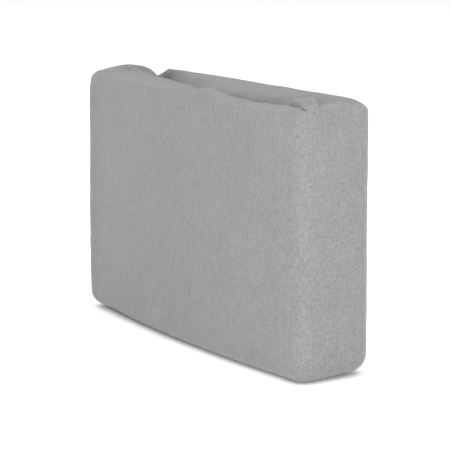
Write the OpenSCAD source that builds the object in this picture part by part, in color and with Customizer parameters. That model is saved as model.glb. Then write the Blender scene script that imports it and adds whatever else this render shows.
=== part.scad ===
// Back protector pad: a foam core with a stiffening board inside a plush slip cover.
// The cover stands on its long narrow edge, and its mouth is along the top. A flap hinged
// on the rear top edge lies over the mouth and tucks in behind an elasticated front lip.
// Origin: middle of the base. X runs along the width, -Y is the crowned front, +Z is up.

/* [Pad] */
// Width of the covered pad, end to end
pad_w = 300; // [260:1:340]
// Height of the covered pad, base to top
pad_h = 196; // [160:1:230]
// Thickness of the covered pad at its edges
pad_t = 65; // [55:1:80]
// How far the middle of the front stands proud of its edges
front_crown = 6; // [0:0.5:10]
// Radius of the upright edges and of the base edges
edge_r = 13; // [10:0.5:16]
// Radius of the top edges
top_r = 8; // [6:0.5:9]

/* [Cover] */
// Thickness of the plush cloth with its pile and backing
cloth = 4; // [3:0.1:4.5]
// Depth of the front lip at its deepest
lip_depth = 17; // [12:0.5:19]
// Gap between pieces of the cover that move apart
mouth_gap = 2; // [1.5:0.1:3]
// Width of the hem tape on the flap
hem_w = 12; // [8:1:16]

/* [Core] */
// Height of the hand space between the core and the flap
hand_space = 14; // [10:1:18]
// Thickness of the lining cloth round the core
lining = 1; // [0.6:0.1:1.5]
// Thickness of the board behind the foam
board_t = 3; // [2:0.5:5]
// Thickness of the firm foam layer
firm_t = 25; // [15:1:30]

/* [Hidden] */

plush = "#a2a2a2";
tape = "#8d8d8d";
elastic_white = "#e4e2dc";
lining_grey = "#6f7174";
foam_grey = "#c9c7bf";
foam_dark = "#55585c";
board_grey = "#3b3d40";

fit_gap = 0.3;                          // clearance between neighbouring solids
round_step = 18;                        // degrees between the rings of a rounded edge
arc_steps = 8;                          // steps in a rounded corner
front_steps = 20;                       // steps along the crowned front
y_rear = (pad_t + front_crown) / 2;     // rear face
y_front = y_rear - pad_t;               // front face at its edges
x_arc = pad_w / 2 - edge_r;             // centres of the corner arcs
y_arc_front = y_front + edge_r;
y_arc_rear = y_rear - edge_r;
base_lip = 2;                           // straight part of the base above its rounded edge
wall_bottom = edge_r + base_lip;        // where the walls begin
wall_top = pad_h - top_r;               // where the walls end and the top pieces begin
core_top = pad_h - 2 * cloth - hand_space;
core_inset = cloth + 0.5;               // outside of the lining, from the pad's surface
filling_inset = core_inset + lining + fit_gap;
y_board = y_rear - filling_inset - board_t;
y_firm = y_board - fit_gap - firm_t;
y_lining_seam = y_rear - core_inset - 8;
reach = pad_w;                          // longer than anything that it cuts

board_corner = 8;
board_low = edge_r + board_corner;
board_high = core_top - lining - fit_gap - board_corner;
tape_t = 0.8;
elastic_t = 1.2;
elastic_w = 6;
hem_inset = 2;                          // from the edge of a tuck to its elastic
label_w = 26;
label_l = 16;
label_t = 0.8;
label_x = 50;

// The mouth. The left tuck runs from the rear left corner to the front at lip_left.
lip_left = 24;
lip_right = pad_w / 2 - 4;
lip_steps = 24;
flap_left = -pad_w / 2 + 28;            // free end of the flap, clear of the tuck as the flap turns
flap_point_left = -2;                   // left end of the flap's blunt front point
flap_first = 3;                         // step of the lip's curve at the point's right end
slit_y = -13;                           // where the mouth ends on the right top edge

// Outline of the pad in plan, inset from its surface.
function corner(cx, cy, r, from) =
    [for (i = [0 : arc_steps]) let (a = from + 90 * i / arc_steps) [cx + r * cos(a), cy + r * sin(a)]];
function front_y(x) = y_front - front_crown * (1 - pow(min(abs(x), x_arc) / x_arc, 2));
function front_x(i) = -x_arc + 2 * x_arc * i / front_steps;
function front_run(inset) =
    [for (i = [1 : front_steps - 1]) [front_x(i), front_y(front_x(i)) + inset]];
function plan(inset) = let (r = edge_r - inset) concat(
    corner(x_arc, y_arc_rear, r, 0),
    corner(-x_arc, y_arc_rear, r, 90),
    corner(-x_arc, y_arc_front, r, 180),
    front_run(inset),
    corner(x_arc, y_arc_front, r, 270));

// Rear edge of the front lip, a shallow curve that starts and ends on the front edge.
function lip_x(i) = lip_left + (lip_right - lip_left) * i / lip_steps;
function lip_y(x) = front_y(x) + lip_depth * pow(sin(180 * (x - lip_left) / (lip_right - lip_left)), 0.7);
function lip_edge(back, first, last) = [for (i = [first : last]) [lip_x(i), lip_y(lip_x(i)) + back]];

// Edge of the left tuck: a straight line from the rear left corner to the front.
tuck_rear = [-pad_w / 2 + 7, y_rear];
tuck_front = [lip_left, front_y(lip_left)];
tuck_run = tuck_front - tuck_rear;
// Lobe of the right tuck, anticlockwise from the slit to the lip.
lobe_first = 17;                        // step of the lip's curve where the lobe begins
lobe = [[pad_w / 2 + 5, slit_y], [142, -8], [130, 2], [119, 4], [112, -2], [112, -9]];

// A closed solid through rings of the outline, each level being [height, inset].
module rings(levels) {
    n = len(plan(0));
    last = len(levels) - 1;
    polyhedron(
        points = [for (level = levels) for (p = plan(level[1])) [p[0], p[1], level[0]]],
        faces = concat(
            [[for (i = [0 : n - 1]) i]],
            [for (k = [0 : last - 1]) for (i = [0 : n - 1]) let (j = (i + 1) % n)
                [k * n + i, (k + 1) * n + i, (k + 1) * n + j, k * n + j]],
            [[for (i = [n - 1 : -1 : 0]) last * n + i]]));
}

// The pad's solid up to a height, with rounded base edges.
module lower_solid(inset, top) rings(concat(
    [[inset, edge_r - (edge_r - inset) * sin(round_step)]],
    [for (a = [2 * round_step : round_step : 90])
        [edge_r - (edge_r - inset) * cos(a), edge_r - (edge_r - inset) * sin(a)]],
    [[top, inset]]));

// The pad's solid from a height up, with rounded top edges.
module upper_solid(inset, bottom) {
    r = top_r - inset;
    rings(concat(
        [[bottom, inset]],
        [for (a = [round_step : round_step : 90])
            [pad_h - inset - r + r * sin(a), inset + r * (1 - cos(a))]]));
}

module top_shell() difference() {
    upper_solid(0, wall_top + fit_gap);
    upper_solid(cloth, wall_top - 1);
}

module wall(sector) intersection() {
    difference() {
        translate([0, 0, wall_bottom]) linear_extrude(wall_top - wall_bottom) polygon(plan(0));
        translate([0, 0, edge_r]) linear_extrude(wall_top) polygon(plan(cloth));
    }
    linear_extrude(pad_h) polygon(sector);
}

module top_piece(outline) intersection() {
    top_shell();
    linear_extrude(pad_h + 1) polygon(outline);
}

module front_panel() color(plush)
    wall([[-x_arc, y_arc_front], [-x_arc - 50, y_arc_front - 50],
          [x_arc + 50, y_arc_front - 50], [x_arc, y_arc_front]]);

module rear_panel() color(plush)
    wall([[-x_arc, y_arc_rear], [x_arc, y_arc_rear],
          [x_arc + 50, y_arc_rear + 50], [-x_arc - 50, y_arc_rear + 50]]);

module side_panel(side) color(plush)
    wall([[side * x_arc, y_arc_front], [side * x_arc, y_arc_rear],
          [side * (x_arc + 50), y_arc_rear + 50], [side * (x_arc + 50), y_arc_front - 50]]);

module left_side_panel() side_panel(-1);

module right_side_panel() side_panel(1);

module base_panel() color(plush) difference() {
    lower_solid(0, edge_r + base_lip);
    lower_solid(cloth, edge_r + base_lip + 1);
}

function left_tuck_outline() = [
    [-reach, -reach], [tuck_front[0], -reach], tuck_front, tuck_rear,
    [tuck_rear[0], reach], [-reach, reach]];

function right_tuck_outline() = concat(
    [[reach, slit_y]], lobe,
    lip_edge(mouth_gap, lobe_first, lip_steps), [[lip_right + mouth_gap, -reach], [reach, -reach]]);

function front_lip_outline() = concat(
    [[lip_right + 1, -reach], [lip_right + 1, front_y(lip_right)]],
    [for (i = [lip_steps : -1 : 0]) [lip_x(i), lip_y(lip_x(i))]],
    [[lip_left + fit_gap, -reach]]);

// The flap covers what the tucks and the lip leave, set back from them by the gap.
function tuck_y(x) = tuck_rear[1] + (x - tuck_rear[0]) * tuck_run[1] / tuck_run[0];
function flap_outline() = concat(
    [for (x = [flap_left, flap_point_left]) [x, tuck_y(x) + mouth_gap * 1.2]],
    lip_edge(mouth_gap * 1.5, flap_first, lobe_first),
    [for (i = [len(lobe) - 1 : -1 : 0]) lobe[i] + [-mouth_gap / 2, mouth_gap]],
    [[reach, slit_y + mouth_gap], [reach, reach], [flap_left, reach]]);

module left_corner_tuck() color(plush) top_piece(left_tuck_outline());

module right_corner_tuck() color(plush) top_piece(right_tuck_outline());

module front_lip() color(plush) top_piece(front_lip_outline());

module rear_flap() color(plush) top_piece(flap_outline());

// Flat bands that follow an edge under the top pieces: an outline on one side and its copy on the other.
module band(thickness, edge, shift) translate([0, 0, pad_h - cloth - fit_gap / 3 - thickness])
    linear_extrude(thickness) polygon(concat(edge, [for (i = [len(edge) - 1 : -1 : 0]) edge[i] + shift]));

// Hem tape along the free front edge of the flap.
module flap_hem_tape() color(tape)
    band(tape_t, lip_edge(mouth_gap + 4, 5, lobe_first - 2), [0, hem_w]);

// Elastics inside the hems round the mouth.
module front_lip_elastic() color(elastic_white)
    band(elastic_t, lip_edge(0.5 - hem_inset, 7, lip_steps - 7), [0, -elastic_w]);

module left_tuck_elastic() color(elastic_white) {
    across = [tuck_run[1], -tuck_run[0]] / norm(tuck_run);
    edge = [for (share = [0.16, 0.8]) tuck_rear + tuck_run * share + across * hem_inset];
    band(elastic_t, edge, across * elastic_w);
}

module right_tuck_elastic() color(elastic_white) {
    run = lobe[3] - lobe[1];
    across = [-run[1], run[0]] / norm(run);
    band(elastic_t, [for (corner = [lobe[1], lobe[3]]) corner + across * hem_inset], across * elastic_w);
}

// Unprinted care label, sewn to the inside of the rear panel and lying on the core.
module blank_label() color(elastic_white)
    translate([label_x, y_rear - cloth - label_l, core_top + fit_gap]) cube([label_w, label_l, label_t]);

module core_part(inset, y_low, y_high) intersection() {
    lower_solid(inset, core_top - inset + core_inset);
    translate([-reach, y_low, 0]) cube([2 * reach, y_high - y_low, pad_h]);
}

module lining_part(y_low, y_high) difference() {
    core_part(core_inset, y_low, y_high);
    lower_solid(core_inset + lining, core_top - lining);
}

module front_lining() color(lining_grey) lining_part(-reach, y_lining_seam);

module rear_lining() color(lining_grey) lining_part(y_lining_seam, reach);

module soft_foam() color(foam_grey) core_part(filling_inset, -reach, y_firm - fit_gap);

module firm_foam() color(foam_dark) core_part(filling_inset, y_firm, y_board - fit_gap);

module rear_board() color(board_grey) translate([0, y_board + board_t, 0]) rotate([90, 0, 0])
    linear_extrude(board_t) hull() for (x = [-1, 1], z = [board_low, board_high])
        translate([x * (x_arc - board_corner), z]) circle(board_corner, $fn = 32);

front_panel();
rear_panel();
left_side_panel();
right_side_panel();
base_panel();
left_corner_tuck();
right_corner_tuck();
front_lip();
rear_flap();
flap_hem_tape();
front_lip_elastic();
left_tuck_elastic();
right_tuck_elastic();
blank_label();
front_lining();
rear_lining();
soft_foam();
firm_foam();
rear_board();
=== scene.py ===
"""Back protector pad in a plush slip cover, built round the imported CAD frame.

The cover is worked out in millimetres on an ideal rounded block and then settled: the front
crowns, the rear left corner of the mouth sinks, and the cloth swells and dimples. The pieces
round the mouth are cut on a flat cloth plane and folded over the top edges.
"""

import math

import bpy
import numpy as np
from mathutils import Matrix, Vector
from mathutils.geometry import delaunay_2d_cdt


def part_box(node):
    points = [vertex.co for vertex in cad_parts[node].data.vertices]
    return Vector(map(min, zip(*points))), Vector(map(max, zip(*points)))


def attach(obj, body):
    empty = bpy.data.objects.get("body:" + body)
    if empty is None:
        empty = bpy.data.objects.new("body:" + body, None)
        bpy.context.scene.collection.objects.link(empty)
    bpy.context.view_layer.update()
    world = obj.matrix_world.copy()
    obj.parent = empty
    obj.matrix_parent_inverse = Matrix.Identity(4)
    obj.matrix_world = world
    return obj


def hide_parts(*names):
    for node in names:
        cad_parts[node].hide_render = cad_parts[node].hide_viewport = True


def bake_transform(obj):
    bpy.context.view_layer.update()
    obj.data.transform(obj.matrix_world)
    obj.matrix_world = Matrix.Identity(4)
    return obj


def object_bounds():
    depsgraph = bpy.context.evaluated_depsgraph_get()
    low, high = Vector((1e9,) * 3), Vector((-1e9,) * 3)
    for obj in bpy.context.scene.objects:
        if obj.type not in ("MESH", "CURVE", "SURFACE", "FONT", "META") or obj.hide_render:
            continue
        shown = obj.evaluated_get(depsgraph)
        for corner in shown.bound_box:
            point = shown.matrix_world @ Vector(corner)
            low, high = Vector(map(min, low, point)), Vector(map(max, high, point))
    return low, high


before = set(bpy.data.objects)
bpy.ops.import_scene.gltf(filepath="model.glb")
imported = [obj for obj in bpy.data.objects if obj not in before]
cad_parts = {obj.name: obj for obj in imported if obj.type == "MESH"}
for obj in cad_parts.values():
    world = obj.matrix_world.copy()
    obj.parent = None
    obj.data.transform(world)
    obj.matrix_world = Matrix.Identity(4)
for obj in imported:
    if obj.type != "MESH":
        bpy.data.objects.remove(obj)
cad_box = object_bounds()

# ---------------------------------------------------------------- sizes, in millimetres

MM = 0.001                                  # metres in a millimetre
low, high = (np.array(corner) / MM for corner in cad_box)
PAD_H = high[2]
HALF_W = high[0]
Y_REAR = high[1]
CROWN = 6                                   # how far the middle of the front stands proud
Y_FRONT = low[1] + CROWN
EDGE_R = 13                                 # upright edges and base edges
BASE_LIFT = 1.6                             # how far the base's left end and rear stand off the floor
TOP_R = 8                                   # top edges
X_ARC = HALF_W - EDGE_R                     # centres of the upright edges
CORE_LOW = np.array([-X_ARC, Y_FRONT + EDGE_R])
CORE_HIGH = np.array([X_ARC, Y_REAR - EDGE_R])
WALL_BOTTOM = 15
WALL_TOP = PAD_H - TOP_R
CORE_TOP = 174                              # top of the foam core in its lining
CLOTH = 3.2                                 # plush cloth, pile and backing

STEP = 1.5           # mesh spacing on the cover
LIP_LEFT, LIP_RIGHT = 24, 146               # ends of the front lip
TUCK_FRONT_Y = -31.4                        # where the left tuck's edge meets the lip
LIP_NARROW, LIP_WIDE = 8, 13.6              # its depth at the ends, and what the middle adds
MOUTH_DIVE = 12.0                           # how far the flap's free edge lies below its neighbours
MOUTH_GAP = 2.6                             # between the flap and its neighbours
CREVICE = 4                                 # extra dive of the flap right at its free edge
FLAP_DROOP = 3.5                            # how far the flap droops at the rear right corner
SLIT_Y = -13                                # where the mouth ends on the right
LOBE_PUFF = 1.6                             # how far the right tuck's lobe puffs up
HEM_ROLL = 4.0                              # radius of the rolled hems round the mouth
BAND_GAP = 0.4                              # between the cloth and a tape or elastic under it
TAPE_THICK, ELASTIC_THICK = 0.8, 1.2
TAPE_REACH = (4.5, 16)                      # the tape's edges, from the flap's free edge
ELASTIC_REACH = (-4.5, -10.5)               # the elastics' edges, from the front cloth's free edge
LINING_INSET = 4.8                          # outside of the lining, from the pad's surface
LINING_ROLL = 5                             # radius of the lining's top edges
LINING_THICK = 0.8
LINING_STEP = 3.0
SAG_START, SAG_END = -139, 33               # the left tuck's sag grows from the second to the first
TUCK_SAG = 11.5                             # what it grows to, before it fades out at the left side
TUCK_LEVEL = 195.8                          # height of the tuck's front part
TUCK_PEAK = 1.7                             # what its left end adds to that
TUCK_RISE = 2.8                             # what it gains where it meets the lip
NOTCH = np.array([-141.5, Y_REAR])          # where the mouth ends at the rear left
NOTCH_SINK = 12.0                           # how far the top cloth sinks there
NOTCH_PULL = 6.0                            # how far it pulls the walls down with it

# Height of the front cloth along its free edge, from the left tuck's end to the right side.
CREST = [(24, 198.9), (30, 198.3), (38, 198.6), (44, 197.2), (49, 194.0), (62, 192.8), (84, 191.7),
         (108, 192.2), (124, 193.4), (137, 194.4), (150, 194.4)]
# Lobe of the right tuck that pokes out behind the lip.
LOBE = [(150, -13), (142, -8), (130, 2), (119, 4), (112, -2), (112, -9)]

# Swells of the filled cover, from broad ones to clumps of pile: height, width, seed.
SWELLS = [(0.4, 60, 1), (0.25, 24, 2), (0.14, 9, 3), (0.1, 3.1, 4)]

# Dimples pressed into the cloth: centre, half sizes, depth.
DENTS = [
    ((142, -30, 186), (7, 7, 8), 1.6),      # beside the front right corner
    ((150, -3, 184), (6, 4.5, 2), 1.3),     # short pucker on the right side
    ((124, -32, 82), (10, 10, 7), 0.7),     # faint hollows low on the front
    ((133, -31, 38), (9, 9, 8), 0.7),
    ((42, -35, 190), (11, 7, 2.2), 1.5),    # crease under the lip's left bump
    ((-122, -12, 197), (4, 3, 5), 1.6),     # short grooves across the left tuck
    ((-132, 1, 197), (4, 3, 5), 2.0),
    ((-136, 17, 195), (4, 8, 6), 2.4),      # fold that runs down into the notch
    ((-133, 31, 189), (5, 7, 8), 3.0),      # bottom of the notch
    ((-147, -25, 196), (9, 10, 9), 2.9),    # softer front left corner
    ((-146, -28, 100), (12, 12, 70), -1.3),     # fuller front left edge
    ((-146, -28, 40), (12, 12, 40), -1.0),
]


def smooth(t):
    """0 below 0, 1 above 1, and an even curve in between."""
    t = np.clip(t, 0, 1)
    return t * t * (3 - 2 * t)


def rise(value, start, end):
    """0 as far as start, 1 from end on, and smooth in between."""
    return smooth((value - start) / (end - start))


def lumps(points, size, seed):
    """Smooth noise from -1 to 1 with lumps about as wide as size."""
    grid = points / size
    cell = np.floor(grid).astype(np.int64)
    part = smooth(grid - cell)
    total = np.zeros(len(points))
    for corner in np.ndindex(2, 2, 2):
        key = (cell + corner) @ np.array([73856093, 19349663, 83492791]) + seed * 2654435761
        for _ in range(2):
            key = ((key ^ (key >> 15)) * 73244475) & 0xFFFFFFFF
        weight = np.where(corner, part, 1 - part).prod(axis=1)
        total += weight * (key / 2**31 - 1)
    return total


# ---------------------------------------------------------------- the pad's surface

def fold_over(flat, roll, edge=EDGE_R):
    """Folds points of the flat cloth plane over a rounded edge: place in plan, drop, normal."""
    core = np.clip(flat, CORE_LOW, CORE_HIGH)
    out = flat - core
    far = np.linalg.norm(out, axis=1)
    away = out / np.maximum(far, 1e-9)[:, None]
    past = far - (edge - roll)
    angle = np.clip(past / roll, 0, math.pi / 2)
    reach = np.where(past > 0, edge - roll + roll * np.sin(angle), far)
    plan = core + away * reach[:, None]
    drop = roll * (1 - np.cos(angle)) + np.maximum(past - roll * math.pi / 2, 0)
    normal = np.column_stack([away * np.sin(angle)[:, None], np.cos(angle)])
    return plan, drop, normal


def crown(x, y):
    """How far the front is pushed out, fading towards the rear."""
    bulge = np.maximum(1 - np.abs(x / X_ARC) ** 2.2, 0) ** 1.3
    return CROWN * bulge * (1 - rise(y, -15, 10))


def notch(x, y, reach, squeeze):
    """1 at the notch at the rear left, fading to 0 round it, faster away from the side."""
    beside = x - NOTCH[0]
    return np.exp(-np.hypot(np.where(beside > 0, squeeze, 1) * beside, y - NOTCH[1]) / reach)


def settle(points, normal):
    """Moves points of the ideal pad to where the filled and handled cover has them."""
    x, y, z = points.T
    place = points.copy()
    place[:, 1] -= crown(x, y)
    place[:, 2] -= NOTCH_PULL * notch(x, y, 4.5, 2.6) * rise(z, 140, 188)
    lift = np.maximum(rise(x, -20, -140), rise(y, -15, 30))
    place[:, 2] += BASE_LIFT * lift * (1 - rise(z, 0, 45))
    swell = sum(height * lumps(points, size, seed) for height, size, seed in SWELLS)
    swell = swell * rise(z, 1, 13)
    for centre, size, depth in DENTS:
        swell = swell - depth * np.exp(-(((points - centre) / size) ** 2).sum(axis=1))
    return place + normal * swell[:, None]


def crest(x):
    """Height of the lip's free edge."""
    at, height = np.array(CREST).T
    return sum(np.interp(x + shift, at, height) for shift in (-4, -2, 0, 2, 4)) / 5


def tuck_line(x):
    """Plan line of the left tuck's free edge."""
    return Y_REAR + (x - NOTCH[0]) * (TUCK_FRONT_Y - Y_REAR) / (LIP_LEFT - NOTCH[0])


def tuck_sag(x):
    """How far the left tuck's free edge lies below its front edge."""
    share = np.maximum(SAG_END - x, 0) / (SAG_END - SAG_START)
    return TUCK_SAG * share ** 1.9 * rise(x, -142, -126)


def left_tuck_level(x, y):
    """Height of the left tuck's cloth."""
    across = np.clip((y + 26) / (tuck_line(x) + 26.1), 0, 1.1)
    corner = TUCK_PEAK * np.exp(-((x + 146) / 22) ** 2 - ((y - 7) / 12) ** 2)
    end = TUCK_RISE * np.exp(-((x - 26) / 28) ** 2)
    sunk = tuck_sag(x) * across ** 1.5 + NOTCH_SINK * notch(x, y, 4.4, 1)
    return TUCK_LEVEL + corner + end - sunk


def lip_level(x, y):
    """Height of the lip's cloth, the same from front to back."""
    return crest(x)


def right_tuck_level(x, y):
    """Height of the right tuck's cloth, with its puffed lobe."""
    lobe = LOBE_PUFF * np.exp(-((x - 124) / 10) ** 2 - ((y + 3) / 7) ** 2)
    return crest(x) + (PAD_H - crest(x)) * rise(y, -25, -13) + lobe


def flap_level(x, y):
    """Height of the rear flap's cloth before it dives into the mouth."""
    droop = FLAP_DROOP * rise(x, 126, 150) * rise(y, 0, 20)
    return PAD_H - droop - NOTCH_SINK * notch(x, y, 8, 1.7)


# ---------------------------------------------------------------- rolled hems round the mouth

def front_hem(x, flat_y, edge):
    """How far the front cloth sinks at a distance from its free edge."""
    roll = HEM_ROLL * (0.02 + 0.98 * rise(x, HALF_W - 1, HALF_W - 15))
    return roll - np.sqrt(roll**2 - np.maximum(roll - edge, 0) ** 2)


def flap_hem(x, flat_y, edge):
    """The flap dives into the mouth, well below the tucks and the lip."""
    neighbour = np.where(x < LIP_LEFT, PAD_H - tuck_sag(x), crest(x))
    depth = (PAD_H - neighbour + MOUTH_DIVE) * rise(x, HALF_W - 4, HALF_W - 26)
    depth *= 1 - 0.6 * rise(x, 92, 118)
    width = np.clip(Y_REAR - 4.5 - tuck_line(x), 4, 26)
    rear_seam = CORE_HIGH[1] + TOP_REACH
    dive = depth * (1 - np.clip(edge / width, 0, 1)) ** 3 * rise(flat_y, rear_seam, rear_seam - 4)
    crevice = CREVICE * np.exp(-edge / 2.5) * rise(x, 110, 80) * rise(x, -120, -80)
    return dive + crevice + 0.4 * front_hem(x, flat_y, edge)


# ---------------------------------------------------------------- outlines on the flat plane

def side_run(start, end, facing):
    """Arc centres and outward directions along one wall, from mid-corner to mid-corner."""
    start, end = np.array(start, float), np.array(end, float)
    corner_steps = max(int(EDGE_R * math.pi / 4 / STEP), 4)
    straight_steps = int(np.linalg.norm(end - start) / STEP)
    turn = np.linspace(45, 0, corner_steps, endpoint=False)
    along = np.linspace(0, 1, straight_steps + 1)[:, None]
    cores = np.vstack([np.tile(start, (corner_steps, 1)), start + (end - start) * along,
                       np.tile(end, (corner_steps, 1))])
    angle = np.radians(np.concatenate([facing - turn, np.full(straight_steps + 1, facing),
                                       facing + turn[::-1]]))
    return cores, np.column_stack([np.cos(angle), np.sin(angle)])


(left_x, front_y), (right_x, rear_y) = CORE_LOW, CORE_HIGH
RUNS = {
    "front_panel": side_run((left_x, front_y), (right_x, front_y), 270),
    "right_side_panel": side_run((right_x, front_y), (right_x, rear_y), 0),
    "rear_panel": side_run((right_x, rear_y), (left_x, rear_y), 90),
    "left_side_panel": side_run((left_x, rear_y), (left_x, front_y), 180),
}


LOOP_CORES = np.vstack([cores[:-1] for cores, away in RUNS.values()])
LOOP_AWAY = np.vstack([away[:-1] for cores, away in RUNS.values()])


def loop(reach):
    """The pad's outline, anticlockwise from the front left corner, at a distance from its core."""
    return LOOP_CORES + LOOP_AWAY * reach


TOP_REACH = EDGE_R - TOP_R + TOP_R * math.pi / 2
TOP_LOOP = loop(TOP_REACH)


def nearest(points, place):
    """Index of the point that is nearest to a place."""
    return int(np.linalg.norm(points - np.array(place, float), axis=1).argmin())


def along_loop(start, end):
    """The stretch of the top pieces' outer edge from one place anticlockwise to another."""
    first, last = nearest(TOP_LOOP, start), nearest(TOP_LOOP, end)
    if last <= first:
        last += len(TOP_LOOP)
    return TOP_LOOP[np.arange(first, last + 1) % len(TOP_LOOP)]


def resample(line, step):
    """Evenly spaced points along an open line, ends kept."""
    line = np.array(line, float)
    length = np.concatenate([[0], np.cumsum(np.linalg.norm(np.diff(line, axis=0), axis=1))])
    at = np.linspace(0, length[-1], max(int(round(length[-1] / step)), 1) + 1)
    return np.column_stack([np.interp(at, length, line[:, k]) for k in (0, 1)])


def rounded(line, passes=3):
    """Cuts the corners of an open line, so that it turns smoothly."""
    line = np.array(line, float)
    for _ in range(passes):
        a, b = line[:-1], line[1:]
        middle = np.stack([a * 0.75 + b * 0.25, a * 0.25 + b * 0.75], axis=1).reshape(-1, 2)
        line = np.vstack([line[:1], middle[1:-1], line[-1:]])
    return line


def shifted(line, distance):
    """The line moved to its left by a distance, which may vary along it."""
    ahead = np.gradient(line, axis=0)
    ahead /= np.linalg.norm(ahead, axis=1)[:, None]
    left = np.column_stack([-ahead[:, 1], ahead[:, 0]])
    return line + left * np.broadcast_to(distance, len(line))[:, None]


def between(line, start, end):
    """The stretch of a line from one x to another."""
    return line[(line[:, 0] > start) & (line[:, 0] < end)]


def lip_depth(x):
    """How far the lip reaches back from its seam."""
    wide = np.clip((x - LIP_LEFT) / (LIP_RIGHT - LIP_LEFT), 0, 1)
    return LIP_NARROW + LIP_WIDE * np.sin(math.pi * wide) ** 0.7


def lip_line(gap):
    """The lip's free edge on the flat plane, left to right, or the line a gap behind it."""
    x = np.linspace(LIP_SEAM[0], LIP_END[0], 81)
    base = CORE_LOW[1] - np.sqrt(TOP_REACH**2 - np.maximum(x - X_ARC, 0) ** 2)
    return np.column_stack([x, base + lip_depth(x) + gap])


def tuck_curve():
    """The left tuck's free edge between its ends, unrolled from its line in plan."""
    x = np.linspace(NOTCH[0] + 1.5, LIP_LEFT - 3, 60)
    y = tuck_line(x) + crown(x, tuck_line(x))
    flat_top = CORE_HIGH[1] + EDGE_R - TOP_R
    over = TOP_R * np.arcsin(np.clip((y - flat_top) / TOP_R, 0, 1))
    return np.column_stack([x, np.minimum(y, flat_top) + over])


LIP_SEAM = TOP_LOOP[nearest(TOP_LOOP, (LIP_LEFT, Y_FRONT))]
LIP_END = TOP_LOOP[nearest(TOP_LOOP, (LIP_RIGHT, Y_FRONT))]
NOTCH_END = TOP_LOOP[nearest(TOP_LOOP, (NOTCH[0], Y_REAR + TOP_R))]
SLIT_END = TOP_LOOP[nearest(TOP_LOOP, (HALF_W + TOP_R, SLIT_Y))]

lip_edge = resample(lip_line(0), STEP)
tuck_edge = resample(np.vstack([NOTCH_END, tuck_curve(), lip_edge[0]]), STEP)
behind_lip = lip_line(MOUTH_GAP)
behind_lip[:, 1] -= (MOUTH_GAP - 0.8) * rise(behind_lip[:, 0], 122, 140)
past_lobe = behind_lip[:, 0] - LOBE[-1][0]
lobe_edge = rounded([SLIT_END, *LOBE, behind_lip[past_lobe > 3][0]])
lobe_edge = resample(np.vstack([lobe_edge, behind_lip[past_lobe > 4], lip_edge[-1]]), STEP)
FRONT_CLOTH_EDGE = np.vstack([tuck_edge, lip_edge, lobe_edge[::-1]])


def flap_front():
    """The flap's free edge on the flat plane, from the notch to the right side."""
    diagonal = shifted(tuck_edge, MOUTH_GAP * 0.8)
    lip = between(lip_line(MOUTH_GAP * 1.3), LIP_LEFT + 14, LOBE[-1][0] - 5)
    lobe = lobe_edge[::-1]
    lobe = lobe[nearest(lobe, LOBE[-2]):]
    closing = rise(lobe[:, 0], HALF_W - 1, HALF_W - 15)
    lobe = shifted(lobe, MOUTH_GAP * 0.7 * closing)
    left = diagonal[(diagonal[:, 0] < 6) & (diagonal[:, 1] < NOTCH_END[1])]
    return np.vstack([left, rounded(np.vstack([left[-1], lip[0]])), lip, lobe[2:-1]])


FLAP_EDGE = resample(flap_front(), STEP)

# Level, hem, free edge and height of the gathers of each top piece.
LEFT_TUCK_SHAPE = left_tuck_level, front_hem, FRONT_CLOTH_EDGE, 0.35
LIP_SHAPE = lip_level, front_hem, FRONT_CLOTH_EDGE, 0.45
RIGHT_TUCK_SHAPE = right_tuck_level, front_hem, FRONT_CLOTH_EDGE, 0.35
FLAP_SHAPE = flap_level, flap_hem, FLAP_EDGE, 0.25


# ---------------------------------------------------------------- meshes


def inside(points, outline):
    """Which points are inside a closed outline."""
    x, y = points.T
    found = np.zeros(len(points), bool)
    for (x1, y1), (x2, y2) in zip(outline, np.roll(outline, -1, axis=0)):
        if y1 != y2:
            found ^= ((y1 > y) != (y2 > y)) & (x < (x2 - x1) * (y - y1) / (y2 - y1) + x1)
    return found


def distance(points, line):
    """Distance from each point to an open line."""
    best = np.full(len(points), np.inf)
    for a, b in zip(line[:-1], line[1:]):
        run = b - a
        share = np.clip((points - a) @ run / max(run @ run, 1e-12), 0, 1)
        best = np.minimum(best, np.linalg.norm(points - a - share[:, None] * run, axis=1))
    return best


def patch(outline, step):
    """Points and triangles that fill a closed outline evenly."""
    low_corner, high_corner = outline.min(axis=0), outline.max(axis=0)
    rows = np.arange(low_corner[1], high_corner[1], step * 0.866)
    columns = np.arange(low_corner[0], high_corner[0], step)
    grid = np.array([(x + step / 2 * (k % 2), y) for k, y in enumerate(rows) for x in columns])
    grid = grid[inside(grid, outline)]
    grid = grid[distance(grid, np.vstack([outline, outline[:1]])) > step * 0.6]
    points = np.vstack([outline, grid])
    edges = [(k, (k + 1) % len(outline)) for k in range(len(outline))]
    made = delaunay_2d_cdt([Vector(p) for p in points], edges, [], 1, 1e-6)
    return np.array([tuple(p) for p in made[0]]), [tuple(face) for face in made[2]]


def grid_faces(rows, columns, closed=False):
    """Quads of a grid whose points run along each row in turn."""
    wide = columns if closed else columns - 1
    faces = []
    for row in range(rows - 1):
        for k in range(wide):
            after = (k + 1) % columns
            faces.append((row * columns + k, row * columns + after,
                          (row + 1) * columns + after, (row + 1) * columns + k))
    return faces


def wall(name):
    """One upright side of the cover."""
    cores, away = RUNS[name]
    heights = np.linspace(WALL_BOTTOM, WALL_TOP, int((WALL_TOP - WALL_BOTTOM) / STEP) + 1)
    plan = np.tile(cores + away * EDGE_R, (len(heights), 1))
    points = np.column_stack([plan, np.repeat(heights, len(cores))])
    normal = np.column_stack([np.tile(away, (len(heights), 1)), np.zeros(len(points))])
    return settle(points, normal), grid_faces(len(heights), len(cores))


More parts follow.
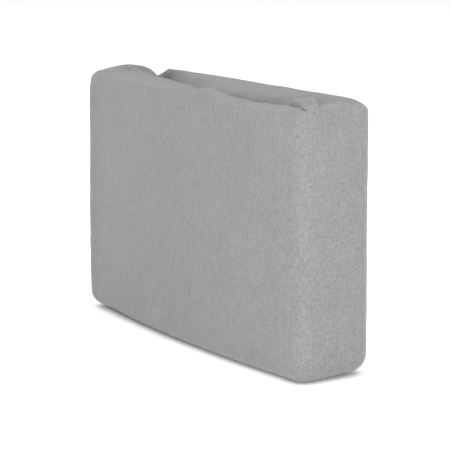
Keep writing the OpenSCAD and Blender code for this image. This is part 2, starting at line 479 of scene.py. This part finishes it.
def base():
    """The base with its rounded edges, up to the walls."""
    outline = loop(EDGE_R * math.pi / 2 + WALL_BOTTOM - EDGE_R)
    flat, faces = patch(outline, STEP)
    plan, drop, normal = fold_over(flat, EDGE_R)
    normal[:, 2] *= -1
    return settle(np.column_stack([plan, drop]), normal), [face[::-1] for face in faces]


def folded_top(flat, level, hem, free_edge, gather):
    """Folds a flat piece over the top edges and rolls its free edge down."""
    plan, drop, normal = fold_over(flat, TOP_R)
    x, y = plan.T
    height = WALL_TOP + (TOP_R - drop) * (level(x, y) - WALL_TOP) / TOP_R
    points = np.column_stack([plan, height])
    edge = distance(flat, free_edge)
    cloth = np.column_stack([flat, 0 * x])
    wave = lumps(cloth, 7, 5) + 0.6 * lumps(cloth, 4, 6)
    lift = gather * wave * np.exp(-edge / 7) - hem(x, flat[:, 1], edge)
    return settle(points, normal) + normal * lift[:, None]


def top_piece(outline, shape):
    """Cuts a top piece out of the flat cloth and folds it."""
    flat, faces = patch(outline, STEP)
    return folded_top(flat, *shape), faces


def left_corner_tuck():
    outline = np.vstack([along_loop(NOTCH_END, LIP_SEAM)[:-1],
                         resample(np.vstack([LIP_SEAM, lip_edge[0]]), STEP)[:-1], tuck_edge[:0:-1]])
    return top_piece(outline, LEFT_TUCK_SHAPE)


def front_lip():
    outline = np.vstack([along_loop(LIP_SEAM, LIP_END)[:-1],
                         resample(np.vstack([LIP_END, lip_edge[-1]]), STEP)[:-1], lip_edge[:0:-1],
                         resample(np.vstack([lip_edge[0], LIP_SEAM]), STEP)[:-1]])
    return top_piece(outline, LIP_SHAPE)


def right_corner_tuck():
    outline = np.vstack([along_loop(LIP_END, SLIT_END)[:-1], lobe_edge[:-1],
                         resample(np.vstack([lip_edge[-1], LIP_END]), STEP)[:-1]])
    return top_piece(outline, RIGHT_TUCK_SHAPE)


def rear_flap():
    outline = np.vstack([along_loop(SLIT_END, NOTCH_END)[:-1], FLAP_EDGE])
    return top_piece(outline, FLAP_SHAPE)


def face_normals(points, faces):
    """Area-weighted normal of each face."""
    corners = [[face[0], face[1], face[2], face[3] if len(face) > 3 else face[0]] for face in faces]
    a, b, c, d = (points[k] for k in np.array(corners).T)
    return np.cross(c - a, d - b) if len(faces[0]) > 3 else np.cross(b - a, c - a)


def shared_normals(pieces):
    """Point normals of each piece, averaged over all the pieces that meet at a seam."""
    points = np.vstack([piece[0] for piece in pieces.values()])
    _, same = np.unique(np.round(points * 50).astype(np.int64), axis=0, return_inverse=True)
    same = same.ravel()
    total = np.zeros((same.max() + 1, 3))
    start = 0
    for place, faces in pieces.values():
        across = face_normals(place, faces)
        for k in range(len(faces[0])):
            np.add.at(total, same[start + np.array([face[k] for face in faces])], across)
        start += len(place)
    total /= np.maximum(np.linalg.norm(total, axis=1), 1e-12)[:, None]
    split = np.cumsum([len(place) for place, _ in pieces.values()])[:-1]
    return dict(zip(pieces, np.split(total[same], split)))


def thicken(points, faces, normal, thickness):
    """A closed cloth of that thickness, with the points as its outside."""
    count = len(points)
    used = dict.fromkeys((a, b) for face in faces for a, b in zip(face, face[1:] + face[:1]))
    rim = [(b, a, a + count, b + count) for a, b in used if (b, a) not in used]
    under = [tuple(k + count for k in reversed(face)) for face in faces]
    return np.vstack([points, points - normal * thickness]), [*faces, *under, *rim]


def new_object(name, points, faces, material, normal=None):
    """A mesh object from points in millimetres."""
    mesh = bpy.data.meshes.new(name)
    mesh.from_pydata((np.asarray(points) * MM).tolist(), [], [tuple(map(int, f)) for f in faces])
    mesh.polygons.foreach_set("use_smooth", [True] * len(mesh.polygons))
    mesh.materials.append(material)
    if normal is not None:
        mesh.normals_split_custom_set_from_vertices(normal.tolist())
    obj = bpy.data.objects.new(name, mesh)
    bpy.context.scene.collection.objects.link(obj)
    return obj


def finish_piece(obj, node, body="cover"):
    """Hides the part of the CAD node that the piece stands for, and has the piece ride on a body if one is
    given.
    """
    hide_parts(node)
    if body:
        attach(obj, body)
    return obj


# ---------------------------------------------------------------- materials

RIDGES = 0.31                               # wave texture scale that gives one ridge a metre


def material(name, roughness, sheen=0.0, specular=0.3):
    """A new material: its node tree and its shader."""
    made = bpy.data.materials.new(name)
    made.use_nodes = True
    shader = made.node_tree.nodes["Principled BSDF"]
    shader.inputs["Roughness"].default_value = roughness
    shader.inputs["Sheen Weight"].default_value = sheen
    shader.inputs["Sheen Roughness"].default_value = 0.5
    shader.inputs["Specular IOR Level"].default_value = specular
    return made, shader


def add(tree, kind, inputs=None, **settings):
    """A node with its settings, and its inputs either linked or set."""
    node = tree.nodes.new(kind)
    for key, value in settings.items():
        setattr(node, key, value)
    for key, value in (inputs or {}).items():
        if isinstance(value, bpy.types.NodeSocket):
            tree.links.new(value, node.inputs[key])
        else:
            node.inputs[key].default_value = value
    return node


def noise(tree, where, size, detail=2.0):
    """Noise from about 0.3 to 0.7, with features as wide as size in metres."""
    inputs = {"Vector": where, "Scale": 1 / size, "Detail": detail}
    return add(tree, "ShaderNodeTexNoise", inputs).outputs[0]


def maths(tree, operation, *values):
    """The result of one sum on outputs and numbers."""
    return add(tree, "ShaderNodeMath", dict(enumerate(values)), operation=operation).outputs[0]


def blend_of(tree, parts, middle=0.5):
    """The middle value plus each (output, strength) about its own middle, 0.5."""
    total = None
    for output, strength in parts:
        term = maths(tree, "MULTIPLY_ADD", output, strength, -0.5 * strength)
        total = maths(tree, "ADD", term, middle if total is None else total)
    return total


def colours(tree, share, dark, light):
    """Mixes two greys or colours by a share from 0 to 1."""
    ramp = add(tree, "ShaderNodeValToRGB", {"Fac": share})
    ramp.color_ramp.elements[0].color = (*dark, 1)
    ramp.color_ramp.elements[1].color = (*light, 1)
    return ramp.outputs["Color"]


def grey(value, tint=(1, 1, 1)):
    """A grey, or one tinted in its red, green and blue."""
    return tuple(value * part for part in tint)


def where_on(tree):
    """Place on the object, in metres."""
    return add(tree, "ShaderNodeTexCoord").outputs["Object"]


def bump(tree, shader, height, distance_m, strength):
    """Raises the surface by a height times that distance in metres."""
    made = add(tree, "ShaderNodeBump", {"Height": height, "Distance": distance_m, "Strength": strength})
    tree.links.new(made.outputs["Normal"], shader.inputs["Normal"])


def plush_material():
    """Short dense pile in soft grey, with a faint mottle and coarser tufts towards the right."""
    made, shader = material("plush", 0.95, sheen=0.25, specular=0.08)
    tree = made.node_tree
    where = where_on(tree)
    clump = add(tree, "ShaderNodeTexVoronoi", {"Vector": where, "Scale": 1 / 0.0021}, feature="SMOOTH_F1")
    fibres = noise(tree, where, 0.0011, 3)
    share = blend_of(tree, [(noise(tree, where, 0.05), 0.3), (noise(tree, where, 0.011), 0.3),
                            (noise(tree, where, 0.0026, 1), 0.4), (clump.outputs["Distance"], -0.3),
                            (fibres, 0.65)])
    across = add(tree, "ShaderNodeSeparateXYZ", {"Vector": where}).outputs["X"]
    unbrushed = add(tree, "ShaderNodeMapRange", {"Value": across, "From Min": 0.0, "From Max": 0.15})
    tufts = blend_of(tree, [(noise(tree, where, 0.0022, 2), 0.95)], 0.0)
    share = maths(tree, "ADD", share, maths(tree, "MULTIPLY", tufts, unbrushed.outputs[0]))
    tree.links.new(colours(tree, share, grey(0.122), grey(0.211)), shader.inputs["Base Color"])
    height = blend_of(tree, [(clump.outputs["Distance"], -0.6), (fibres, 1.0),
                             (noise(tree, where, 0.0032, 1), 0.8)])
    bump(tree, shader, height, 0.0007, 0.7)
    return made


def waves(tree, where, width, direction, distortion):
    """Ridges of that width in metres, one after another in a direction."""
    inputs = {"Vector": where, "Scale": RIDGES / width, "Distortion": distortion}
    return add(tree, "ShaderNodeTexWave", inputs, bands_direction=direction).outputs["Fac"]


def woven_material(name, dark, light, thread):
    """Plain weave: ridges of that thread width in metres, whichever way the cloth faces."""
    made, shader = material(name, 0.8, sheen=0.1)
    tree = made.node_tree
    where = where_on(tree)
    threads = [(waves(tree, where, thread, direction, 0.6), 0.3) for direction in "XZY"]
    share = blend_of(tree, [*threads, (noise(tree, where, 0.02), 0.5),
                            (noise(tree, where, thread * 2), 0.5)])
    tree.links.new(colours(tree, share, dark, light), shader.inputs["Base Color"])
    bump(tree, shader, share, thread * 0.5, 0.7)
    return made


def ribbed_material(name, dark, light, rib, direction, roughness=0.6):
    """Narrow woven tape or elastic with ribs of that width in metres."""
    made, shader = material(name, roughness, sheen=0.15)
    tree = made.node_tree
    where = where_on(tree)
    share = blend_of(tree, [(waves(tree, where, rib, direction, 0.3), 0.7),
                            (noise(tree, where, 0.0008), 0.5), (noise(tree, where, 0.012), 0.3)])
    tree.links.new(colours(tree, share, dark, light), shader.inputs["Base Color"])
    bump(tree, shader, share, rib * 0.4, 0.7)
    return made


def foam_material(name, dark, light, cell):
    """Open-cell foam: pale cell walls, with painted shade that darkens the pits between them."""
    made, shader = material(name, 0.9, specular=0.15)
    tree = made.node_tree
    where = where_on(tree)
    cells = add(tree, "ShaderNodeTexVoronoi", {"Vector": where, "Scale": 1 / cell})
    # The cell distance darkens the colour where the bump sinks into a pit: painted shade.
    share = blend_of(tree, [(cells.outputs["Distance"], 0.9), (noise(tree, where, 0.03), 0.6),
                            (noise(tree, where, cell * 3), 0.5)])
    tree.links.new(colours(tree, share, dark, light), shader.inputs["Base Color"])
    bump(tree, shader, cells.outputs["Distance"], cell * 0.6, 0.6)
    return made


def board_material():
    """Dark pressed fibre board with flecks and a faint scuffing."""
    made, shader = material("board", 0.55, specular=0.4)
    tree = made.node_tree
    where = where_on(tree)
    flecks = add(tree, "ShaderNodeTexVoronoi", {"Vector": where, "Scale": 1 / 0.004})
    share = blend_of(tree, [(flecks.outputs["Distance"], 0.5), (noise(tree, where, 0.0012, 4), 0.8),
                            (noise(tree, where, 0.06), 0.4)])
    tree.links.new(colours(tree, share, grey(0.03), grey(0.075)), shader.inputs["Base Color"])
    bump(tree, shader, noise(tree, where, 0.0012, 4), 0.0003, 0.5)
    return made


PLUSH = plush_material()
LINING = woven_material("lining", grey(0.12, (1, 1.01, 1.04)), grey(0.22, (1, 1.01, 1.04)), 0.0009)
TAPE = ribbed_material("hem_tape", grey(0.2), grey(0.34), 0.0011, "DIAGONAL", 0.75)
ELASTIC = ribbed_material("elastic", grey(0.55, (1, 0.99, 0.96)), grey(0.82, (1, 0.99, 0.96)), 0.0009, "Y")
LABEL = ribbed_material("label", grey(0.66, (1, 0.99, 0.96)), grey(0.84, (1, 0.99, 0.96)), 0.0004, "X", 0.4)
THREAD = woven_material("thread", grey(0.3), grey(0.45), 0.0003)
SOFT_FOAM = foam_material("soft_foam", grey(0.42, (1, 0.98, 0.9)), grey(0.66, (1, 0.98, 0.9)), 0.0014)
FIRM_FOAM = foam_material("firm_foam", grey(0.06, (1, 1.03, 1.08)), grey(0.12, (1, 1.03, 1.08)), 0.001)
BOARD = board_material()


# ---------------------------------------------------------------- the cover


def build_cover():
    """All the plush pieces, with normals that run on across their seams."""
    pieces = {name: wall(name) for name in RUNS}
    pieces["base_panel"] = base()
    for make in (left_corner_tuck, front_lip, right_corner_tuck, rear_flap):
        pieces[make.__name__] = make()
    normals = shared_normals(pieces)
    made = {}
    for name, (points, faces) in pieces.items():
        solid, all_faces = thicken(points, faces, normals[name], CLOTH)
        both = np.vstack([normals[name], -normals[name]])
        made[name] = new_object(f"plush_{name}", solid, all_faces, PLUSH, both)
        finish_piece(made[name], name, None if name in ("front_lip", "rear_flap") else "cover")
    return made


# ---------------------------------------------------------------- hems, elastics and stitches

def strip_under(line, near, far, shape, thickness, ribs):
    """A band along a line, sewn under a folded top piece: points, faces and normals of its face."""
    steps = max(4 * ribs, 8)
    flat = np.vstack([shifted(line, inwards) for inwards in np.linspace(near, far, steps + 1)])
    points = folded_top(flat, *shape)
    faces = grid_faces(steps + 1, len(line))
    normal = shared_normals({"strip": (points, faces)})["strip"]
    if normal[:, 2].mean() < 0:
        normal = -normal
        faces = [face[::-1] for face in faces]
    share = np.repeat(np.linspace(0, 1, steps + 1), len(line))
    outside = points - normal * (CLOTH + BAND_GAP)
    solid, all_faces = thicken(outside, faces, normal, thickness)
    ridge = thickness * 0.35 * np.sin(math.pi * ribs * share) ** 2
    solid[len(outside):] -= normal * ridge[:, None]
    return solid, all_faces, normal


def tube(path, radius, sides):
    """A closed tube along a path."""
    path = np.array(path, float)
    ahead = np.gradient(path, axis=0)
    ahead /= np.linalg.norm(ahead, axis=1)[:, None]
    side = np.cross(ahead, np.where(np.abs(ahead[:, 2:]) < 0.9, [[0, 0, 1]], [[1, 0, 0]]))
    side /= np.linalg.norm(side, axis=1)[:, None]
    up = np.cross(side, ahead)
    turn = np.arange(sides) * 2 * math.pi / sides
    ring = side[:, None] * np.cos(turn)[:, None] + up[:, None] * np.sin(turn)[:, None]
    points = (path[:, None] + ring * radius).reshape(-1, 3)
    faces = grid_faces(len(path), sides, closed=True)
    caps = [tuple(range(sides))[::-1], tuple(range(len(points) - sides, len(points)))]
    return points, [*faces, *caps]


def join(parts):
    """Several meshes as one list of points and faces."""
    points, faces, start = [], [], 0
    for place, part_faces in parts:
        points.append(place)
        faces += [tuple(k + start for k in face) for face in part_faces]
        start += len(place)
    return np.vstack(points), faces


def weld(points, faces):
    """Merges the points that lie at the same place."""
    _, kept, same = np.unique(np.round(points * 100).astype(np.int64), axis=0, return_index=True,
                              return_inverse=True)
    same = same.ravel()
    return points[kept], [tuple(same[list(face)]) for face in faces]


def stitch_row(line, normal, length=3.0, gap=1.4, radius=0.28):
    """Stitches that rise out of the cloth along a line and dive in again."""
    line, normal = np.array(line, float), np.array(normal, float)
    run = np.concatenate([[0], np.cumsum(np.linalg.norm(np.diff(line, axis=0), axis=1))])
    parts = []
    for start in np.arange(gap, run[-1] - length, length + gap):
        at = start + length * np.linspace(0, 1, 5)
        place = np.column_stack([np.interp(at, run, line[:, k]) for k in range(3)])
        out = np.column_stack([np.interp(at, run, normal[:, k]) for k in range(3)])
        arch = radius * (1.1 * np.sin(math.pi * np.linspace(0, 1, 5)) - 0.3)
        parts.append(tube(place + out * arch[:, None], radius, 5))
    return join(parts)


def add_band(name, node, body, finish, line, reach, shape, thickness, ribs):
    """A tape or an elastic with a row of stitches along each of its edges."""
    near, far = reach
    solid, faces, normal = strip_under(line, near, far, shape, thickness, ribs)
    band = finish_piece(new_object(name, solid, faces, finish), node, body)
    under = solid[len(solid) // 2:]
    count = len(line)
    rows = len(under) // count
    parts = []
    for row in (1, rows - 2):
        chosen = slice(row * count, (row + 1) * count)
        parts.append(stitch_row(under[chosen], -normal[chosen]))
    stitches = new_object(f"{name}_stitches", *join(parts), THREAD)
    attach(stitches, body)
    return [band, stitches]


def build_bands():
    """The hem tape and the elastics round the mouth, by the panel that carries them."""
    flap_line = between(rounded(resample(flap_front(), 3)), 48, 100)
    lip = between(lip_edge, 58, 112)
    left = between(tuck_edge, -116, -10)
    right = resample([(137, -7.5), (131, -3), (125, 0)], 1.5)
    return {
        "rear_flap": add_band("herringbone_hem_tape", "flap_hem_tape", "rear_flap", TAPE,
                              flap_line, TAPE_REACH, FLAP_SHAPE, TAPE_THICK, 1),
        "front_lip": add_band("ribbed_lip_elastic", "front_lip_elastic", "front_lip", ELASTIC,
                              lip, ELASTIC_REACH, LIP_SHAPE, ELASTIC_THICK, 5),
        "left_corner_tuck": add_band("ribbed_left_elastic", "left_tuck_elastic", "cover",
                                     ELASTIC, left, ELASTIC_REACH, LEFT_TUCK_SHAPE, ELASTIC_THICK, 5),
        "right_corner_tuck": add_band("ribbed_right_elastic", "right_tuck_elastic", "cover",
                                      ELASTIC, right, (4.5, 9.5), RIGHT_TUCK_SHAPE, ELASTIC_THICK, 5),
    }


# ---------------------------------------------------------------- what is inside

def lining_half(rear):
    """Half of the woven bag round the core, in front of or behind its seam."""
    ring = loop(1)
    left, right = (nearest(ring, (side * (X_ARC + 1), CORE_HIGH[1])) for side in (-1, 1))
    first, last = (right, left) if rear else (left, right)
    chosen = np.arange(first, last + 1 + (len(LOOP_CORES) if last < first else 0)) % len(LOOP_CORES)
    cores, away = LOOP_CORES[chosen][::2], LOOP_AWAY[chosen][::2]
    edge = EDGE_R - LINING_INSET
    parts = []
    for roll, height, up in ((LINING_ROLL, CORE_TOP, 1), (edge, LINING_INSET, -1)):
        rim = cores + away * (edge - roll + roll * math.pi / 2)
        seam = resample(np.vstack([rim[-1], rim[0]]), LINING_STEP)[1:-1]
        flat, faces = patch(np.vstack([rim, seam]), LINING_STEP)
        plan, drop, _ = fold_over(flat, roll, edge)
        parts.append((np.column_stack([plan, height - up * drop]), [face[::up] for face in faces]))
    heights = np.linspace(LINING_INSET + edge, CORE_TOP - LINING_ROLL, int(150 / LINING_STEP))
    plan = np.tile(cores + away * edge, (len(heights), 1))
    quads = grid_faces(len(heights), len(cores))
    triangles = [tri for a, b, c, d in quads for tri in ((a, b, c), (a, c, d))]
    parts.append((np.column_stack([plan, np.repeat(heights, len(cores))]), triangles))
    return weld(*join(parts))


def crumple(points, normal, size, height):
    """Crowns the front as the cover does, and adds shallow wrinkles."""
    place = points + normal * (height * lumps(points, size, 11) - height)[:, None]
    place[:, 1] -= crown(points[:, 0], points[:, 1])
    return place


def lining_seam():
    """The corded seam over the top of the lining and down both ends."""
    reach = X_ARC + EDGE_R - LINING_INSET
    side = CORE_TOP - LINING_ROLL
    turn = np.radians(np.linspace(0, 90, 6))
    inner = reach - LINING_ROLL
    bend = np.column_stack([inner + LINING_ROLL * np.cos(turn), side + LINING_ROLL * np.sin(turn)])
    right = np.vstack([np.column_stack([np.full(30, reach), np.linspace(30, side - 1, 30)]), bend])
    top = np.column_stack([np.linspace(inner - 2, -inner + 2, 120), np.full(120, CORE_TOP)])
    line = np.vstack([right, top, right[::-1] * (-1, 1)])
    return np.column_stack([line[:, 0], np.full(len(line), CORE_HIGH[1]), line[:, 1]])


def build_linings():
    """The lining's two halves and the cord sewn into its seam."""
    for name, rear, filling in (("front_lining", False, "foam_front_layer"),
                                ("rear_lining", True, "foam_rear_layer")):
        points, faces = lining_half(rear)
        normal = shared_normals({name: (points, faces)})[name]
        place = crumple(points, normal, 26, 0.35)
        normal = shared_normals({name: (place, faces)})[name]
        solid, all_faces = thicken(place, faces, normal, LINING_THICK)
        obj = new_object(f"woven_{name}", solid, all_faces, LINING, np.vstack([normal, -normal]))
        finish_piece(obj, name)
    cord = new_object("lining_seam_cord", *tube(lining_seam(), 0.9, 8), LINING)
    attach(cord, "cover")


def rounded_block(corner_low, corner_high, radius, step):
    """A closed block with rounded edges, as points, quads and normals."""
    corner_low, corner_high = np.array(corner_low), np.array(corner_high)
    parts = []
    for axis in range(3):
        u, v = (axis + 1) % 3, (axis + 2) % 3
        counts = [max(int((corner_high[k] - corner_low[k]) / step), 2) + 1 for k in (u, v)]
        across = [np.linspace(corner_low[k], corner_high[k], count) for k, count in zip((u, v), counts)]
        for side in (0, 1):
            points = np.zeros((counts[0] * counts[1], 3))
            points[:, u] = np.tile(across[0], counts[1])
            points[:, v] = np.repeat(across[1], counts[0])
            points[:, axis] = (corner_low, corner_high)[side][axis]
            faces = grid_faces(counts[1], counts[0])
            parts.append((points, faces if side else [face[::-1] for face in faces]))
    points, faces = weld(*join(parts))
    core = np.clip(points, corner_low + radius, corner_high - radius)
    out = points - core
    away = out / np.maximum(np.linalg.norm(out, axis=1), 1e-9)[:, None]
    return core + away * radius, faces, away


def build_foam(name, node, finish, radius):
    """One layer of the core, with the pitted skin of cut foam."""
    corner_low, corner_high = (np.array(corner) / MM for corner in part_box(node))
    crowned = corner_low[1] < Y_FRONT + EDGE_R
    if crowned:
        corner_low = corner_low + (0, CROWN, 0)
    points, faces, normal = rounded_block(corner_low + 0.2, corner_high - 0.2, radius, 4)
    place = points + normal * (0.25 * lumps(points, 9, 7) - 0.3)[:, None]
    if crowned:
        place[:, 1] -= crown(points[:, 0], points[:, 1])
    foam = finish_piece(new_object(name, place, faces, finish), node)


def build_label():
    """An unprinted label lying on the core, its rear edge sewn into the rear panel."""
    corner_low, corner_high = (np.array(corner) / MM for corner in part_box("blank_label"))
    columns, rows = 19, 13
    across = np.tile(np.linspace(corner_low[0], corner_high[0], columns), rows)
    along = np.repeat(np.linspace(corner_high[1], corner_low[1], rows), columns)
    share = (corner_high[1] - along) / (corner_high[1] - corner_low[1])
    twist = (across - across.mean()) / 26
    height = corner_low[2] + 1.0 + 1.6 * share**2 + 0.8 * twist * share
    points = np.column_stack([across, along, height])
    faces = [face[::-1] for face in grid_faces(rows, columns)]
    normal = shared_normals({"label": (points, faces)})["label"]
    solid, all_faces = thicken(points, faces, normal, 0.5)
    label = finish_piece(new_object("woven_blank_label", solid, all_faces, LABEL), "blank_label")
    row = slice(2 * columns, 3 * columns)
    stitches = stitch_row(points[row], normal[row], 2, 1.2, 0.2)
    sewn = new_object("label_stitches", *stitches, THREAD)
    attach(sewn, "cover")
    return [label, sewn]


def finish_board():
    """The board keeps its CAD shape and gets its material."""
    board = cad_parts["rear_board"]
    board.data.materials.clear()
    board.data.materials.append(BOARD)


build_foam("foam_front_layer", "soft_foam", SOFT_FOAM, 6)
build_foam("foam_rear_layer", "firm_foam", FIRM_FOAM, 3)
build_linings()
finish_board()
cover = build_cover()
bands = build_bands()
bands["rear_panel"] = build_label()
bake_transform(cover["front_lip"])
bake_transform(cover["rear_flap"])


# ---------------------------------------------------------------- camera, floor and light

def outward(azimuth, elevation):
    """Direction away from the pad at an azimuth and an elevation in degrees."""
    azimuth, elevation = math.radians(azimuth), math.radians(elevation)
    return Vector((math.sin(azimuth) * math.cos(elevation), -math.cos(azimuth) * math.cos(elevation),
                   math.sin(elevation)))


def put(obj, place, back):
    """Adds a camera or a light to the scene, with its back to a direction."""
    obj.location = place
    obj.rotation_mode = "QUATERNION"
    obj.rotation_quaternion = (-back).to_track_quat("-Z", "Y")
    bpy.context.scene.collection.objects.link(obj)


def make_camera():
    """Looks a little down on the front and the right side, from about 1.4 m away."""
    camera = bpy.data.objects.new("camera", bpy.data.cameras.new("camera"))
    camera.data.lens = 146.84
    camera.data.sensor_width = 36
    camera.data.clip_end = 100
    put(camera, (1.14795, -0.74033, 0.34794), outward(56.891, 10.7764))
    bpy.context.scene.camera = camera


def floor_material():
    """Nearly white, with a faint mottle."""
    made, shader = material("floor", 0.9, specular=0.1)
    tree = made.node_tree
    share = blend_of(tree, [(noise(tree, where_on(tree), 0.4), 0.4)])
    tree.links.new(colours(tree, share, grey(0.93), grey(0.96)), shader.inputs["Base Color"])
    return made


def make_floor():
    """A wide flat sheet that the pad stands on."""
    half = 12
    mesh = bpy.data.meshes.new("floor")
    corners = [(-half, -half, 0), (half, -half, 0), (half, half, 0), (-half, half, 0)]
    mesh.from_pydata(corners, [], [(0, 1, 2, 3)])
    mesh.materials.append(floor_material())
    floor = bpy.data.objects.new("floor", mesh)
    bpy.context.scene.collection.objects.link(floor)


def area_light(name, azimuth, elevation, away, size, power):
    """A square soft light aimed at the middle of the pad."""
    back = outward(azimuth, elevation)
    light = bpy.data.objects.new(name, bpy.data.lights.new(name, "AREA"))
    light.data.size = size
    light.data.energy = power
    put(light, Vector((0, 0, PAD_H * MM / 2)) + back * away, back)


def make_world():
    """An even white studio."""
    world = bpy.data.worlds.new("studio")
    world.use_nodes = True
    background = world.node_tree.nodes["Background"]
    background.inputs["Color"].default_value = (1, 1, 1, 1)
    background.inputs["Strength"].default_value = 0.76
    bpy.context.scene.world = world
    bpy.context.scene.view_settings.view_transform = "Standard"


make_camera()
make_floor()
make_world()
area_light("key", azimuth=61, elevation=-2, away=0.95, size=0.35, power=10)
area_light("overhead", azimuth=20, elevation=86, away=3, size=5, power=145)
